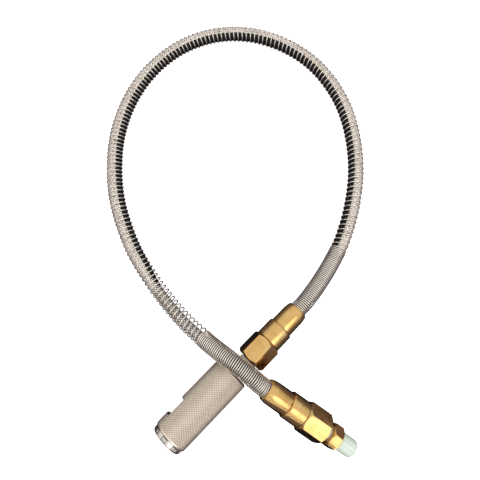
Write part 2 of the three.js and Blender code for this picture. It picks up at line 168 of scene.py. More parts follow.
# ---- braided hose inside the guard ----
CORE_STEP = 3.0
CORE_SIDES = 28
CORE_END_GAP = 0.5
CORE_RADIUS = 5.25
BRAID_RADIUS = 5.7
BRAID_CLOSED_RADIUS = 4.3  # inside the cover, where the closed turns hide it
BRAID_STRANDS = 12
BRAID_PITCH = 28.0
BRAID_WAVE = 0.24
BRAID_WIDTH = 0.95
BRAID_THICK = 0.22
BRAID_STEP = 0.5
BRAID_SHIFT = 0.8  # towards the outside of the bend
CORE_SHIFT = -1.2  # towards the inside of the bend, where its near-black shows between the turns as painted shade
BRAID_OPENING = 0.012  # share of the open stretch over which the layers change at its ends
LOOSE_START = 0.86  # share of the open stretch from which the hose lies loose
LOOSE_SPAN = 0.06
LOOSE_SHIFT = 1.2  # both layers towards the outside of the bend, where loose
CORE_LOOSE_RADIUS = 4.6
BRAID_LOOSE_RADIUS = 4.42

# ---- knurled sleeve, stations along the nozzle ----
SLEEVE_START = 1.5
SLEEVE_END = 69.4
SLEEVE_RADIUS = 15.2
SLEEVE_PLAIN_RADIUS = 15.0
SLEEVE_REAR_EDGE = [(0.0, -1.0), (0.3, -0.55), (0.8, -0.15), (1.1, 0.0)]  # from the start, from the radius
SLEEVE_FRONT_EDGE = [(-0.6, 0.0), (-0.15, -0.25), (0.0, -0.5)]  # from the end, from the radius
SLEEVE_INSIDE = [  # (station, radius)
    (69.4, 14.3), (66.0, 14.0), (59.4, 14.0), (59.4, 12.0), (34.0, 12.0), (34.0, 13.2), (15.3, 13.2),
    (15.3, 12.0), (1.5, 12.0),
]
KNURL_START = 3.0
KNURL_END = 67.6
KNURL_MARGIN = 0.1
KNURL_DEPTH = 0.34
KNURL_AROUND = 50
KNURL_PITCH = 1.9
KNURL_SHARP = 20
KNURL_SHADED, KNURL_UNSHADED = 14.87, 15.02  # radii between which the grooves' painted shade fades out
NOTCH_LOW, NOTCH_HIGH = (42.5, -30.0, -20.0), (58.3, -12.25, 20.0)
SLOT_LOW, SLOT_HIGH = (44.2, -30.0, -5.0), (56.6, -8.0, 5.0)

# ---- nose ring and locking segments ----
NOSE_PROFILE = [
    (9.0, 59.2), (11.6, 59.2), (11.6, 63.8), (13.7, 63.8), (13.7, 73.2), (13.1, 73.9), (9.6, 73.9),
    (9.0, 73.3),
]
SEGMENT_COUNT = 8
SEGMENT_LOW, SEGMENT_HIGH = (69.9, -2.2, 9.1), (72.7, 2.2, 14.1)
SEGMENT_DOME = (60, 75, 14.1)  # start, end and radius of the round that ends the segments outside
SEGMENT_TURN = math.radians(8.0)
WINDOW_CLEARANCE = 0.3
WINDOW_REACH = 2.0

# ---- inside the nozzle, (radius, station) ----
BODY_PROFILE = [
    (6.4, 5.0), (11.6, 5.0), (11.6, 19.5), (10.7, 19.5), (10.7, 21.3), (11.1, 21.3), (11.1, 34.3),
    (11.6, 34.3), (11.6, 58.9), (8.8, 58.9), (8.8, 58.3), (10.4, 58.3), (10.4, 56.1), (8.8, 56.1),
    (8.8, 45.1), (5.2, 45.1), (5.2, 18.0), (2.5, 18.0), (2.5, 14.0), (6.4, 14.0),
]
POPPET_PROFILE = [
    (0, 19.5), (1.5, 19.5), (1.5, 40.9), (4.6, 40.9), (4.6, 43.5), (4.0, 44.1), (1.5, 44.1), (1.5, 52.5),
    (2.3, 52.5), (2.3, 54.5), (0, 54.5),
]
SEAT_PROFILE = [(3.3, 45.4), (8.5, 45.4), (8.5, 50.0), (4.3, 50.0), (3.3, 48.9)]
RETAINER_PROFILE = [(6.8, 50.3), (8.5, 50.3), (8.5, 51.5), (6.8, 51.5)]
PLUG_RING_RADIUS, PLUG_RING_STATION, PLUG_RING_SECTION = 9.4, 57.2, 0.75
PLUG_RING_SIDES = 16

# ---- eccentric neck, stations along the nozzle ----
NECK_FRONT_PROFILE = [
    (0, -10), (6.8, -10), (6.8, 4.6), (5.9, 4.6), (5.9, 9.2), (4.9, 9.2), (4.9, 11.4), (5.9, 11.4),
    (5.9, 13.4), (0, 13.4),
]
NECK_REAR_PROFILE = [(0, -27.1), (6.3, -27.1), (6.3, -14.4), (6.8, -14.4), (6.8, -9), (0, -9)]
NECK_REAR_BORE = (-28, -7, 2.0)  # start, end, radius
NECK_FRONT_BORE = (-11, 15, 2.0)
NECK_TAPE = (-14.2, -11.2, 7.1, 7.75)  # start, end, inner radius, outer radius

# ---- edges ----
SHARP_ANGLE = 32.0  # edges with a greater angle are shaded sharp
BEVEL_ANGLE = 35.0
NUT_BEVEL = 0.12
NOSE_BEVEL = 0.1
SEGMENT_BEVEL = 0.3
CORNER_SHARE = 0.45  # the most of a profile's edge that one softened corner takes


class Placement:
    """A right-handed frame with its first axis along a piece, as the CAD source places it."""

    def __init__(self, origin, along):
        self.along = along.normalized()
        self.side = Vector((0, 0, 1)).cross(self.along).normalized()
        self.up = self.along.cross(self.side)
        self.origin = origin
        self.basis = np.array((self.along, self.side, self.up))

    def points(self, local):
        return np.asarray(local, float) @ self.basis + np.array(self.origin)

    def matrix(self):
        rows = Matrix((self.along, self.side, self.up)).transposed().to_4x4()
        rows.translation = self.origin * MM
        return rows


def far_direction():
    along = FAR_HEADING * math.cos(FAR_SLOPE)
    along.z = -math.sin(FAR_SLOPE)
    return along


NOZZLE = Placement(NOZZLE_ZERO, Vector((1, 0, 0)))
NEAR = Placement(NEAR_MOUTH, Vector((1, 0, 0)))
FAR = Placement(FAR_MOUTH, far_direction())


# ---- camera, floor and light ----
def direction(azimuth, elevation):
    a = math.radians(azimuth)
    e = math.radians(elevation)
    return Vector((math.sin(a) * math.cos(e), -math.cos(a) * math.cos(e), math.sin(e)))


def add_camera():
    back = direction(VIEW_AZIMUTH, VIEW_ELEVATION)
    data = bpy.data.cameras.new("camera")
    data.lens = VIEW_LENS
    data.sensor_width = VIEW_SENSOR
    data.clip_start = 0.01
    data.clip_end = 20
    camera = bpy.data.objects.new("camera", data)
    bpy.context.scene.collection.objects.link(camera)
    camera.location = (VIEW_TARGET + back * VIEW_DISTANCE) * MM
    camera.rotation_mode = "QUATERNION"
    camera.rotation_quaternion = (-back).to_track_quat("-Z", "Y")
    bpy.context.scene.camera = camera


def add_area_light(name, azimuth, elevation, distance, size, power, in_reflections):
    """A rectangle that shines at the middle of the view."""
    data = bpy.data.lights.new(name, "AREA")
    data.shape = "RECTANGLE"
    data.size, data.size_y = size
    data.energy = power
    lamp = bpy.data.objects.new(name, data)
    bpy.context.scene.collection.objects.link(lamp)
    back = direction(azimuth, elevation)
    lamp.location = VIEW_TARGET * MM + back * distance
    lamp.rotation_mode = "QUATERNION"
    lamp.rotation_quaternion = (-back).to_track_quat("-Z", "Y")
    lamp.visible_glossy = in_reflections


def add_world():
    """A studio sky: bright overhead with one soft glow, dark below the floor, with a plain pale backdrop."""
    world = bpy.data.worlds.new("studio")
    world.use_nodes = True
    bpy.context.scene.world = world
    nodes = world.node_tree.nodes
    links = world.node_tree.links
    background = nodes["Background"]
    coords = nodes.new("ShaderNodeTexCoord")
    split = nodes.new("ShaderNodeSeparateXYZ")
    height = nodes.new("ShaderNodeMapRange")
    height.inputs["From Min"].default_value = -1
    height.inputs["From Max"].default_value = 1
    ramp = nodes.new("ShaderNodeValToRGB")
    while len(ramp.color_ramp.elements) < len(SKY_STOPS):
        ramp.color_ramp.elements.new(0.5)
    for element, (place, value) in zip(ramp.color_ramp.elements, SKY_STOPS):
        element.position = (place + 1) / 2
        tint = SKY_LOW_TINT if place < SKY_LOW_BELOW else SKY_TINT
        element.color = (*(value * share for share in tint), 1)
    links.new(coords.outputs["Generated"], split.inputs[0])
    links.new(split.outputs["Z"], height.inputs["Value"])
    links.new(height.outputs["Result"], ramp.inputs["Fac"])
    links.new(ramp.outputs["Color"], background.inputs["Color"])
    towards = nodes.new("ShaderNodeVectorMath")
    towards.operation = "DOT_PRODUCT"
    towards.inputs[1].default_value = GLOW_TOWARDS
    glow = nodes.new("ShaderNodeMapRange")
    glow.interpolation_type = "SMOOTHSTEP"
    glow.inputs["From Min"].default_value = GLOW_EDGE
    glow.inputs["From Max"].default_value = GLOW_FULL
    glow.inputs["To Min"].default_value = 1.0
    glow.inputs["To Max"].default_value = GLOW_STRENGTH
    links.new(coords.outputs["Generated"], towards.inputs[0])
    links.new(towards.outputs["Value"], glow.inputs["Value"])
    links.new(glow.outputs["Result"], background.inputs["Strength"])
    backdrop = nodes.new("ShaderNodeBackground")
    backdrop.inputs["Color"].default_value = (BACKDROP, BACKDROP, BACKDROP, 1)
    path = nodes.new("ShaderNodeLightPath")
    shown = nodes.new("ShaderNodeMixShader")
    links.new(path.outputs["Is Camera Ray"], shown.inputs["Fac"])
    links.new(background.outputs["Background"], shown.inputs[1])
    links.new(backdrop.outputs["Background"], shown.inputs[2])
    links.new(shown.outputs["Shader"], nodes["World Output"].inputs["Surface"])


def add_floor():
    mesh = bpy.data.meshes.new("floor")
    reach = FLOOR_REACH
    corners = [(-reach, -reach, 0), (reach, -reach, 0), (reach, reach, 0), (-reach, reach, 0)]
    mesh.from_pydata(corners, [], [(0, 1, 2, 3)])
    floor = bpy.data.objects.new("floor", mesh)
    bpy.context.scene.collection.objects.link(floor)
    floor.location.z = -FLOOR_DROP
    floor.visible_glossy = False
    floor.visible_diffuse = False
    material = bpy.data.materials.new("floor")
    material.use_nodes = True
    shader = material.node_tree.nodes["Principled BSDF"]
    shader.inputs["Base Color"].default_value = (FLOOR_WHITE, FLOOR_WHITE, FLOOR_WHITE, 1)
    shader.inputs["Roughness"].default_value = 0.9
    shader.inputs["Emission Color"].default_value = (1, 1, 1, 1)
    shader.inputs["Emission Strength"].default_value = FLOOR_GLOW
    mesh.materials.append(material)


def add_studio():
    add_camera()
    add_world()
    add_floor()
    bpy.context.scene.view_settings.view_transform = "Standard"
    for light in LIGHTS:
        add_area_light(*light)


# ---- mesh helpers ----
def link_mesh(name, mesh, body, material, nodes=()):
    piece = bpy.data.objects.new(name, mesh)
    bpy.context.scene.collection.objects.link(piece)
    mesh.materials.clear()
    mesh.materials.append(material)
    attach(piece, body)
    if nodes:
        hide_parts(*nodes)
    return piece


def mesh_of(name, points, faces, sharp=SHARP_ANGLE):
    mesh = bpy.data.meshes.new(name)
    mesh.from_pydata((np.asarray(points) * MM).tolist(), [], [list(face) for face in faces])
    mesh.validate()
    mesh.shade_smooth()
    mesh.set_sharp_from_angle(angle=math.radians(sharp))
    return mesh


def grid_faces(rows, columns, close_rows, close_columns):
    """Quads between neighbouring rows and columns of a vertex grid."""
    row_count = rows if close_rows else rows - 1
    column_count = columns if close_columns else columns - 1
    row, column = np.meshgrid(np.arange(row_count), np.arange(column_count), indexing="ij")
    next_row = (row + 1) % rows
    next_column = (column + 1) % columns
    corners = (row * columns + column, row * columns + next_column,
               next_row * columns + next_column, next_row * columns + column)
    return np.stack([c.ravel() for c in corners], axis=1)


def softened(profile, radius, closed):
    """The profile with each corner replaced by the start, middle and end of a quadratic arc."""
    points = [np.array(p, float) for p in profile]
    count = len(points)
    result = []
    for k, here in enumerate(points):
        if not closed and k in (0, count - 1):
            result.append(here)
            continue
        before = points[k - 1]
        after = points[(k + 1) % count]
        back = np.linalg.norm(before - here)
        ahead = np.linalg.norm(after - here)
        reach = min(radius, CORNER_SHARE * back, CORNER_SHARE * ahead)
        start = here + (before - here) / back * reach
        end = here + (after - here) / ahead * reach
        result += [start, 0.25 * start + 0.5 * here + 0.25 * end, end]
    return result


def rod_profile(start, end, radius):
    return [(0, start), (radius, start), (radius, end), (0, end)]


def turned_mesh(name, profile, placement, edge, sides=96, offset=0.0):
    """Revolve (radius, station) pairs about a placement's axis, or about one beside it by the offset.

    A profile that starts on the axis ends on it too. Any other is closed on itself.
    """
    on_axis = profile[0][0] == 0
    points = softened(profile, edge, not on_axis)
    angles = 2 * math.pi * np.arange(sides) / sides
    rings = points[1:-1] if on_axis else points
    local = [
        np.stack([np.full(sides, s), r * np.cos(angles) + offset, r * np.sin(angles)], axis=1)
        for r, s in rings
    ]
    vertices = np.concatenate(local)
    faces = grid_faces(len(rings), sides, not on_axis, True).tolist()
    if on_axis:
        first = len(vertices)
        ends = [[points[0][1], offset, 0], [points[-1][1], offset, 0]]
        vertices = np.concatenate([vertices, ends])
        last_ring = (len(rings) - 1) * sides
        for k in range(sides):
            after = (k + 1) % sides
            faces.append([first, after, k])
            faces.append([first + 1, last_ring + k, last_ring + after])
    return outward(mesh_of(name, placement.points(vertices), faces))


def outward(mesh):
    """Turn every face of a closed mesh so that its normal points out."""
    editor = bmesh.new()
    editor.from_mesh(mesh)
    bmesh.ops.recalc_face_normals(editor, faces=editor.faces)
    editor.to_mesh(mesh)
    editor.free()
    return mesh


def combined(mesh, other, operation):
    """Boolean of two meshes as a new mesh."""
    scene = bpy.context.scene.collection.objects
    base = bpy.data.objects.new("base", mesh)
    tool = bpy.data.objects.new("tool", other)
    scene.link(base)
    scene.link(tool)
    modifier = base.modifiers.new("boolean", "BOOLEAN")
    modifier.operation = operation
    modifier.solver = "EXACT"
    modifier.object = tool
    graph = bpy.context.evaluated_depsgraph_get()
    result = bpy.data.meshes.new_from_object(base.evaluated_get(graph))
    bpy.data.objects.remove(base)
    bpy.data.objects.remove(tool)
    result.shade_smooth()
    result.set_sharp_from_angle(angle=math.radians(SHARP_ANGLE))
    return result


def block_mesh(name, low, high, placement, turn=0.0):
    """A box between two corners, turned about the placement's axis."""
    corners = np.array(list(itertools.product(*zip(low, high))), float)
    c, s = math.cos(turn), math.sin(turn)
    turned = corners.copy()
    turned[:, 1] = c * corners[:, 1] - s * corners[:, 2]
    turned[:, 2] = s * corners[:, 1] + c * corners[:, 2]
    faces = [(0, 1, 3, 2), (4, 6, 7, 5), (0, 4, 5, 1), (2, 3, 7, 6), (0, 2, 6, 4), (1, 5, 7, 3)]
    return outward(mesh_of(name, placement.points(turned), faces))


def bevelled(piece, width):
    modifier = piece.modifiers.new("edge", "BEVEL")
    modifier.width = width * MM
    modifier.segments = 2
    modifier.limit_method = "ANGLE"
    modifier.angle_limit = math.radians(BEVEL_ANGLE)
    return piece


# ---- materials ----
def new_material(name, colour, roughness, metallic=0.0):
    material = bpy.data.materials.new(name)
    material.use_nodes = True
    shader = material.node_tree.nodes["Principled BSDF"]
    shader.inputs["Base Color"].default_value = (*colour, 1)
    shader.inputs["Roughness"].default_value = roughness
    shader.inputs["Metallic"].default_value = metallic
    return material


def local_coordinates(material, placement):
    """Texture coordinates with their X along the placement's axis."""
    nodes = material.node_tree.nodes
    links = material.node_tree.links
    coords = nodes.new("ShaderNodeTexCoord")
    mapping = nodes.new("ShaderNodeMapping")
    mapping.vector_type = "TEXTURE"
    matrix = placement.matrix()
    mapping.inputs["Location"].default_value = matrix.translation
    mapping.inputs["Rotation"].default_value = matrix.to_euler()
    links.new(coords.outputs["Object"], mapping.inputs["Vector"])
    return mapping.outputs["Vector"]


def noise(material, vector, scale, detail, stretch=None):
    nodes = material.node_tree.nodes
    links = material.node_tree.links
    if stretch is not None:
        mapping = nodes.new("ShaderNodeMapping")
        mapping.inputs["Scale"].default_value = stretch
        links.new(vector, mapping.inputs["Vector"])
        vector = mapping.outputs["Vector"]
    texture = nodes.new("ShaderNodeTexNoise")
    texture.inputs["Scale"].default_value = scale
    texture.inputs["Detail"].default_value = detail
    links.new(vector, texture.inputs["Vector"])
    return texture.outputs["Fac"]


def ramped(material, factor, stops):
    """A colour ramp over a factor; each stop is (place, colour)."""
    ramp = material.node_tree.nodes.new("ShaderNodeValToRGB")
    while len(ramp.color_ramp.elements) < len(stops):
        ramp.color_ramp.elements.new(0.5)
    for element, (place, colour) in zip(ramp.color_ramp.elements, stops):
        element.position = place
        element.color = (*colour, 1)
    material.node_tree.links.new(factor, ramp.inputs["Fac"])
    return ramp.outputs["Color"]


def spread(material, factor, low, high, start=0.3, end=0.7):
    """A factor mapped from start..end to low..high."""
    node = material.node_tree.nodes.new("ShaderNodeMapRange")
    node.inputs["From Min"].default_value = start
    node.inputs["From Max"].default_value = end
    node.inputs["To Min"].default_value = low
    node.inputs["To Max"].default_value = high
    material.node_tree.links.new(factor, node.inputs["Value"])
    return node.outputs["Result"]


def mixed(material, factor, first, second):
    node = material.node_tree.nodes.new("ShaderNodeMix")
    node.data_type = "RGBA"
    links = material.node_tree.links
    links.new(factor, node.inputs["Factor"])
    for socket, value in (("A", first), ("B", second)):
        colour_socket = [s for s in node.inputs if s.name == socket and s.type == "RGBA"][0]
        if isinstance(value, tuple):
            colour_socket.default_value = (*value, 1)
        else:
            links.new(value, colour_socket)
    return [s for s in node.outputs if s.type == "RGBA"][0]


def set_bump(material, height, strength, distance):
    node = material.node_tree.nodes.new("ShaderNodeBump")
    node.inputs["Strength"].default_value = strength
    node.inputs["Distance"].default_value = distance * MM
    material.node_tree.links.new(height, node.inputs["Height"])
    shader = material.node_tree.nodes["Principled BSDF"]
    material.node_tree.links.new(node.outputs["Normal"], shader.inputs["Normal"])


def set_input(material, socket, value):
    shader = material.node_tree.nodes["Principled BSDF"]
    material.node_tree.links.new(value, shader.inputs[socket])


def set_translucent(material, weight):
    """Light spreads about a millimetre under the surface."""
    shader = material.node_tree.nodes["Principled BSDF"]
    shader.inputs["Subsurface Weight"].default_value = weight
    shader.inputs["Subsurface Radius"].default_value = (MM, MM, MM)


def brass_material(name, placement, shade_tone=1.0):
    """Turned brass: warm clouds, small brown stains and fine tool rings. A low shade tone paints the brass
    darker, as shade.
    """
    material = new_material(name, (0.78, 0.55, 0.24), roughness=0.2, metallic=1.0)
    local = local_coordinates(material, placement)
    clouds = noise(material, local, scale=90, detail=4)
    colours = [(0.3, (0.65, 0.39, 0.13)), (0.55, (0.75, 0.49, 0.19)), (0.8, (0.82, 0.58, 0.27))]
    shade_toned = [(place, tuple(shade_tone * c for c in colour)) for place, colour in colours]
    base = ramped(material, clouds, shade_toned)
    stains = noise(material, local, scale=230, detail=3)
    spots = spread(material, stains, 0.0, 0.8, start=0.63, end=0.72)
    set_input(material, "Base Color", mixed(material, spots, base, (0.30 * shade_tone, 0.15 * shade_tone, 0.06 * shade_tone)))
    rings = noise(material, local, scale=900, detail=2, stretch=(1.0, 0.02, 0.02))
    set_input(material, "Roughness", spread(material, clouds, 0.10, 0.15))
    set_bump(material, rings, strength=0.015, distance=0.02)
    return material


def nickel_material(name, placement):
    """Warm nickel plate, painted darker in the knurl's grooves as shade."""
    material = new_material(name, (0.80, 0.74, 0.65), roughness=0.3, metallic=0.9)
    nodes = material.node_tree.nodes
    links = material.node_tree.links
    local = local_coordinates(material, placement)
    split = nodes.new("ShaderNodeSeparateXYZ")
    links.new(local, split.inputs[0])
    join = nodes.new("ShaderNodeCombineXYZ")
    links.new(split.outputs["Y"], join.inputs["Y"])
    links.new(split.outputs["Z"], join.inputs["Z"])
    radius = nodes.new("ShaderNodeVectorMath")
    radius.operation = "LENGTH"
    links.new(join.outputs["Vector"], radius.inputs[0])
    # the knurl's grooves are painted darker by their radius, as shade
    unshaded = spread(material, radius.outputs["Value"], 0.0, 1.0, start=KNURL_SHADED * MM, end=KNURL_UNSHADED * MM)
    clouds = noise(material, local, scale=70, detail=4)
    plate = ramped(material, clouds, [(0.3, (0.94, 0.85, 0.72)), (0.7, (0.99, 0.91, 0.79))])
    set_input(material, "Base Color", mixed(material, unshaded, (0.42, 0.34, 0.26), plate))
    set_input(material, "Roughness", spread(material, clouds, 0.30, 0.38))
    return material


def polished_material(name, placement, colour, roughness):
    """Smooth plated or ground metal with faint turning marks."""
    material = new_material(name, colour, roughness, metallic=1.0)
    local = local_coordinates(material, placement)
    clouds = noise(material, local, scale=120, detail=3)
    dark = tuple(0.8 * c for c in colour)
    set_input(material, "Base Color", ramped(material, clouds, [(0.3, dark), (0.65, colour)]))
    set_input(material, "Roughness", spread(material, clouds, roughness * 0.8, roughness * 1.3))
    rings = noise(material, local, scale=1100, detail=2, stretch=(1.0, 0.02, 0.02))
    set_bump(material, rings, strength=0.08, distance=0.04)
    return material


def wire_material():
    """Drawn spring wire: warm grey with faint streaks."""
    material = new_material("spring_wire", (0.88, 0.82, 0.75), roughness=0.3, metallic=0.9)
    local = local_coordinates(material, NOZZLE)
    clouds = noise(material, local, scale=60, detail=3)
    colours = [(0.3, (0.85, 0.79, 0.71)), (0.7, (0.96, 0.91, 0.84))]
    set_input(material, "Base Color", ramped(material, clouds, colours))
    set_input(material, "Roughness", spread(material, clouds, 0.26, 0.34))
    set_bump(material, noise(material, local, scale=2600, detail=2), strength=0.05, distance=0.02)
    return material


def braid_material():
    """Bright woven stainless wire."""
    material = new_material("braid_wire", (0.95, 0.90, 0.86), roughness=0.34, metallic=0.65)
    local = local_coordinates(material, NOZZLE)
    clouds = noise(material, local, scale=420, detail=3)
    colours = [(0.34, (0.50, 0.41, 0.35)), (0.48, (0.96, 0.89, 0.83)), (0.8, (0.99, 0.96, 0.92))]
    set_input(material, "Base Color", ramped(material, clouds, colours))
    set_input(material, "Roughness", spread(material, clouds, 0.28, 0.45))
    set_bump(material, noise(material, local, scale=3800, detail=2), strength=0.2, distance=0.05)
    return material


def rubber_material(name, colour, roughness):
    """Moulded rubber or polymer with a fine paler grain."""
    material = new_material(name, colour, roughness)
    local = local_coordinates(material, NOZZLE)
    grain = noise(material, local, scale=700, detail=4)
    paler = tuple(min(1.0, 1.8 * c + 0.004) for c in colour)
    set_input(material, "Base Color", ramped(material, grain, [(0.35, colour), (0.75, paler)]))
    set_input(material, "Roughness", spread(material, grain, roughness * 0.85, min(1.0, roughness * 1.15)))
    set_bump(material, grain, strength=0.15, distance=0.05)
    shader = material.node_tree.nodes["Principled BSDF"]
    shader.inputs["Specular IOR Level"].default_value = 0.2
    return material


def tape_material(placement):
    """White thread tape, softly creased around the thread, with painted shade in the creases' low parts."""
    material = new_material("thread_tape", (0.80, 0.82, 0.78), roughness=0.55)
    local = local_coordinates(material, placement)
    creases = noise(material, local, scale=520, detail=4, stretch=(1.0, 0.35, 0.35))
    # the creases' low parts are painted darker, as shade
    colours = [(0.3, (0.62, 0.64, 0.58)), (0.6, (0.83, 0.85, 0.81)), (0.85, (0.90, 0.91, 0.88))]
    set_input(material, "Base Color", ramped(material, creases, colours))
    set_input(material, "Roughness", spread(material, creases, 0.45, 0.7))
    set_bump(material, creases, strength=0.5, distance=0.2)
    set_translucent(material, weight=0.3)
    return material


def cap_material():
    """Translucent moulded plastic, greenish white, with faint lengthwise mould lines."""
    material = new_material("cap_plastic", (0.66, 0.80, 0.68), roughness=0.35)
    local = local_coordinates(material, FAR)
    lines = noise(material, local, scale=700, detail=2, stretch=(0.04, 1.0, 1.0))
    colours = [(0.3, (0.56, 0.64, 0.56)), (0.5, (0.69, 0.79, 0.70)), (0.8, (0.75, 0.84, 0.76))]
    set_input(material, "Base Color", ramped(material, lines, colours))
    set_input(material, "Roughness", spread(material, lines, 0.28, 0.42))
    set_bump(material, lines, strength=0.3, distance=0.1)
    set_translucent(material, weight=0.2)
    return material


# ---- the hose and what is wound on it ----
def catmull_rom(points, per_span):
    """Centripetal Catmull-Rom curve through points, with its ends carried straight on."""
    points = np.array(points, float)
    points = np.vstack([2 * points[0] - points[1], points, 2 * points[-1] - points[-2]])
    share = np.linspace(0, 1, per_span, endpoint=False)[:, None]
    spans = []
    for k in range(1, len(points) - 2):
        p0, p1, p2, p3 = points[k - 1:k + 3]
        d0, d1, d2 = (math.sqrt(np.linalg.norm(b - a)) for a, b in ((p0, p1), (p1, p2), (p2, p3)))
        t1 = ((p1 - p0) / d0 - (p2 - p0) / (d0 + d1) + (p2 - p1) / d1) * d1
        t2 = ((p2 - p1) / d1 - (p3 - p1) / (d1 + d2) + (p3 - p2) / d2) * d1
        c2 = -3 * p1 + 3 * p2 - 2 * t1 - t2
        c3 = 2 * p1 - 2 * p2 + t1 + t2
        spans.append(p1 + t1 * share + c2 * share ** 2 + c3 * share ** 3)
    spans.append(points[-2:-1])
    return np.vstack(spans)


class Route:
    """The hose's centreline by distance from the nozzle ferrule's mouth, with its inward direction."""

    def __init__(self):
        lead_in = NEAR.points([[s, 0, 0] for s in (HOSE_INSERT, HOSE_INSERT / 2, 0)])
        lead_out = FAR.points([[s, 0, 0] for s in (-FAR_LEAD, 0, HOSE_INSERT / 2, HOSE_INSERT)])
        self.line = catmull_rom(np.vstack([lead_in, np.array(HOSE_ROUTE, float), lead_out]), ROUTE_STEPS)
        steps = np.linalg.norm(np.diff(self.line, axis=0), axis=1)
        self.far = np.concatenate([[0], np.cumsum(steps)]) - HOSE_INSERT
        self.length = self.far[-1] - HOSE_INSERT
        self.tangents = self.unit(np.gradient(self.line, self.far, axis=0))

    @staticmethod
    def unit(vectors):
        return vectors / np.linalg.norm(vectors, axis=1)[:, None]

    def sample(self, table, distance):
        return np.stack([np.interp(distance, self.far, table[:, k]) for k in range(3)], axis=1)

    def at(self, distance):
        """Centre, tangent, inward and upward directions at each distance."""
        centre = self.sample(self.line, distance)
        tangent = self.unit(self.sample(self.tangents, distance))
        inward = LOOP_CENTRE - centre
        inward[:, 2] = 0
        inward -= np.sum(inward * tangent, axis=1)[:, None] * tangent
        inward = self.unit(inward)
        return centre, tangent, inward, np.cross(tangent, inward)

    def open_share(self, distance):
        """0 to 1 along the open-wound stretch."""
        start = GUARD_CLOSED_START
        end = self.length - GUARD_CLOSED_END
        return (distance - start) / (end - start)


ROUTE = Route()


def smooth_step(value):
    value = np.clip(value, 0, 1)
    return value * value * (3 - 2 * value)


def opened(distance):
    """1 along the open-wound stretch, 0 inside the closed-wound ends."""
    share = ROUTE.open_share(distance)
    return smooth_step(share / BRAID_OPENING + 1) * smooth_step((1 - share) / BRAID_OPENING + 1)


def loosened(distance):
    """0 where the hose hugs the guard, 1 where it lies loose near the far end."""
    return smooth_step((ROUTE.open_share(distance) - LOOSE_START) / LOOSE_SPAN)


def outward_shift(distance, normal_shift):
    """How far a layer lies towards the outside of the bend: none inside the closed-wound ends."""
    loose = loosened(distance)
    return opened(distance) * (normal_shift * (1 - loose) + LOOSE_SHIFT * loose)


def layer_radius(distance, radius, loose_radius, closed_radius):
    """A layer's radius: its own in the open stretch, another where loose and inside the closed ends."""
    open_radius = radius + (loose_radius - radius) * loosened(distance)
    return closed_radius + (open_radius - closed_radius) * opened(distance)


def swept_mesh(name, centres, first, second, radius, sides):
    """A closed tube: at each centre a ring of the given radius spanned by two directions."""
    angles = 2 * math.pi * np.arange(sides) / sides
    radius = np.broadcast_to(np.asarray(radius, float), (len(centres),))[:, None, None]
    ring = (np.cos(angles)[None, :, None] * first[:, None, :]
            + np.sin(angles)[None, :, None] * second[:, None, :])
    vertices = (centres[:, None, :] + radius * ring).reshape(-1, 3)
    faces = grid_faces(len(centres), sides, False, True).tolist()
    last = (len(centres) - 1) * sides
    faces.append(list(range(sides))[::-1])
    faces.append([last + k for k in range(sides)])
    return outward(mesh_of(name, vertices, faces, sharp=50))


def add_core(material):
    distance = np.arange(-HOSE_INSERT + CORE_END_GAP, ROUTE.length + HOSE_INSERT - CORE_END_GAP, CORE_STEP)
    centre, _, inward, up = ROUTE.at(distance)
    centre = centre - inward * outward_shift(distance, CORE_SHIFT)[:, None]
    core_radius = layer_radius(distance, CORE_RADIUS, CORE_LOOSE_RADIUS, CORE_RADIUS)
    # the hose's core is a real layer, made near-black so that it shows between the guard's turns as painted
    # shade, on the inside of the bend and where the hose lies loose
    mesh = swept_mesh("hose_core_shade_black", centre, inward, up, core_radius, CORE_SIDES)
    piece = link_mesh("hose_core_shade_black", mesh, "nozzle", material, ["hose"])
    return piece, centre


def strand(distance, turn, sign):
    """Corner points of one flat braid strand, four for each distance."""
    centre, tangent, inward, up = ROUTE.at(distance)
    centre = centre - inward * outward_shift(distance, BRAID_SHIFT)[:, None]
    winding = 2 * math.pi / BRAID_PITCH
    angle = turn + sign * winding * distance
    wave = sign * BRAID_WAVE * np.cos(BRAID_STRANDS * winding * distance)
    radius = layer_radius(distance, BRAID_RADIUS, BRAID_LOOSE_RADIUS, BRAID_CLOSED_RADIUS)
    radial = np.cos(angle)[:, None] * inward + np.sin(angle)[:, None] * up
    around = -np.sin(angle)[:, None] * inward + np.cos(angle)[:, None] * up
    travel = tangent + (sign * winding * radius)[:, None] * around
    travel /= np.linalg.norm(travel, axis=1)[:, None]
    across = np.cross(radial, travel)
    corners = []
    for side, height in ((-0.5, -0.5), (0.5, -0.5), (0.5, 0.5), (-0.5, 0.5)):
        lift = radius + wave + height * BRAID_THICK
        corners.append(centre + lift[:, None] * radial + side * BRAID_WIDTH * across)
    return np.stack(corners, axis=1).reshape(-1, 3)


def add_braid(material):
    distance = np.arange(-HOSE_INSERT + GUARD_END_GAP, ROUTE.length + HOSE_INSERT - GUARD_END_GAP, BRAID_STEP)
    vertices = []
    faces = []
    pattern = grid_faces(len(distance), 4, False, True)
    last = (len(distance) - 1) * 4
    ends = np.array([[3, 2, 1, 0], [last, last + 1, last + 2, last + 3]])
    for sign in (1, -1):
        for k in range(BRAID_STRANDS):
            start = len(vertices) * len(distance) * 4
            vertices.append(strand(distance, 2 * math.pi * k / BRAID_STRANDS, sign))
            faces.append(np.vstack([pattern, ends]) + start)
    mesh = mesh_of("braid", np.vstack(vertices), np.vstack(faces).tolist(), sharp=60)
    return link_mesh("steel_braid", outward(mesh), "nozzle", material)


